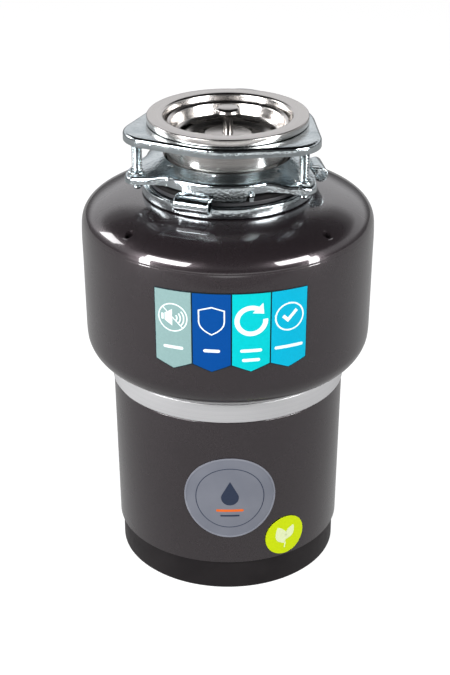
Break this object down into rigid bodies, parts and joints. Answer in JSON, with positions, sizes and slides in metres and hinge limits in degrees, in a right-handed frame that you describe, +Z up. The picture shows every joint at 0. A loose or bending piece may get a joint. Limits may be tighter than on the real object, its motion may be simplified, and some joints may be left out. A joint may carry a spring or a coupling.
{
  "type": "kitchen garbage disposal",
  "caption": "Under-sink food waste disposer with a stepped round body, sink flange, strainer and bayonet mounting hardware over a swing-lug grinder and motor.",
  "frame": {"origin": "centre of the flat base, on the motor's axis", "axes": "+Z up along the motor's axis towards the sink; -Y is the front with the label and badge; +Y is the back with the waste outlet"},
  "size_m": [0.2112, 0.2648, 0.349],
  "materials": {
    "grey_paint": "dark warm-grey metallic enamel, satin-gloss",
    "black_plastic": "moulded black plastic, fine texture",
    "silver_trim": "satin brushed silver band",
    "stainless": "polished and brushed stainless steel",
    "zinc_plate": "bright bluish zinc plating",
    "rubber_black": "black rubber, matt",
    "chamber_plastic": "glass-filled dark plastic",
    "insulation_foam": "grey closed-cell foam",
    "cast_aluminium": "as-cast, slightly rough",
    "hardened_steel": "ground and hardened steel",
    "bearing_bronze": "sintered bronze",
    "laminated_steel": "stacked laminations",
    "copper_winding": "varnished copper wire",
    "red_button": "red moulded plastic",
    "label_print": "printed film, four colours",
    "badge_print": "grey-blue printed badge",
    "sticker_print": "yellow-green printed film"
  },
  "bodies": {
    "housing": {"base_cover": "black_plastic", "wiring_cover": "zinc_plate", "wiring_cover_screw": "zinc_plate", "cable_gland": "black_plastic", "start_capacitor": "black_plastic", "overload_protector": "black_plastic", "lower_end_frame": "cast_aluminium", "stator_core": "laminated_steel", "stator_winding": "copper_winding", "motor_bolt_1": "zinc_plate", "motor_bolt_2": "zinc_plate", "motor_bolt_3": "zinc_plate", "lower_bearing": "bearing_bronze", "upper_end_frame": "cast_aluminium", "upper_bearing": "bearing_bronze", "shaft_seal": "rubber_black", "shredder_ring": "hardened_steel", "hopper": "chamber_plastic", "dishwasher_inlet_plug": "black_plastic", "insulation_jacket": "insulation_foam", "body_clamp_band": "stainless", "outlet_gasket": "rubber_black", "outlet_elbow": "black_plastic", "outlet_flange": "zinc_plate", "outlet_screw_1": "zinc_plate", "outlet_screw_2": "zinc_plate", "lower_shell": "grey_paint", "trim_band": "silver_trim", "upper_shell": "grey_paint", "top_cover": "grey_paint", "top_cover_screw_1": "zinc_plate", "top_cover_screw_2": "zinc_plate", "top_cover_screw_3": "zinc_plate", "top_cover_screw_4": "zinc_plate", "sink_flange": "stainless", "sink_gasket": "rubber_black", "backup_plate": "zinc_plate", "upper_mounting_ring": "zinc_plate", "mount_screw_1": "zinc_plate", "mount_screw_2": "zinc_plate", "mount_screw_3": "zinc_plate", "snap_ring": "hardened_steel", "splash_baffle": "rubber_black", "feature_label": "label_print", "front_badge": "badge_print", "eco_sticker": "sticker_print"},
    "rotor": {"rotor_shaft": "hardened_steel", "rotor_core": "laminated_steel", "water_slinger": "rubber_black", "turntable": "stainless", "turntable_nut": "hardened_steel", "impeller_rivet_1": "hardened_steel", "impeller_rivet_2": "hardened_steel"},
    "swing_lug_1": {"impeller_1": "stainless"},
    "swing_lug_2": {"impeller_2": "stainless"},
    "strainer": {"strainer_basket": "stainless", "stopper_seal": "rubber_black"},
    "strainer_pull": {"strainer_knob": "stainless"},
    "reset": {"reset_button": "red_button"},
    "support_ring": {"lower_mounting_ring": "zinc_plate"}
  },
  "joints": [
    {"name": "rotor_spin", "type": "hinge", "parent": "housing", "child": "rotor", "pos_m": [0, 0, 0], "axis": [0, 0, 1], "continuous": true},
    {"name": "swing_lug_1_turn", "type": "hinge", "parent": "rotor", "child": "swing_lug_1", "pos_m": [0.052, 0, 0.2276], "axis": [0, 0, 1], "continuous": true},
    {"name": "swing_lug_2_turn", "type": "hinge", "parent": "rotor", "child": "swing_lug_2", "pos_m": [-0.052, 0, 0.2276], "axis": [0, 0, 1], "continuous": true},
    {"name": "strainer_lift", "type": "slide", "parent": "housing", "child": "strainer", "axis": [0, 0, 1], "range_m": [0, 0.05]},
    {"name": "strainer_pull_lift", "type": "slide", "parent": "strainer", "child": "strainer_pull", "axis": [0, 0, 1], "range_m": [0, 0.004]},
    {"name": "reset_press", "type": "slide", "parent": "housing", "child": "reset", "axis": [0, 0, 1], "range_m": [0, 0.003], "stiffness_N_per_m": 300},
    {"name": "support_ring_turn", "type": "hinge", "parent": "housing", "child": "support_ring", "pos_m": [0, 0, 0.2952], "axis": [0, 0, 1], "range_deg": [-6, 40]}
  ]
}
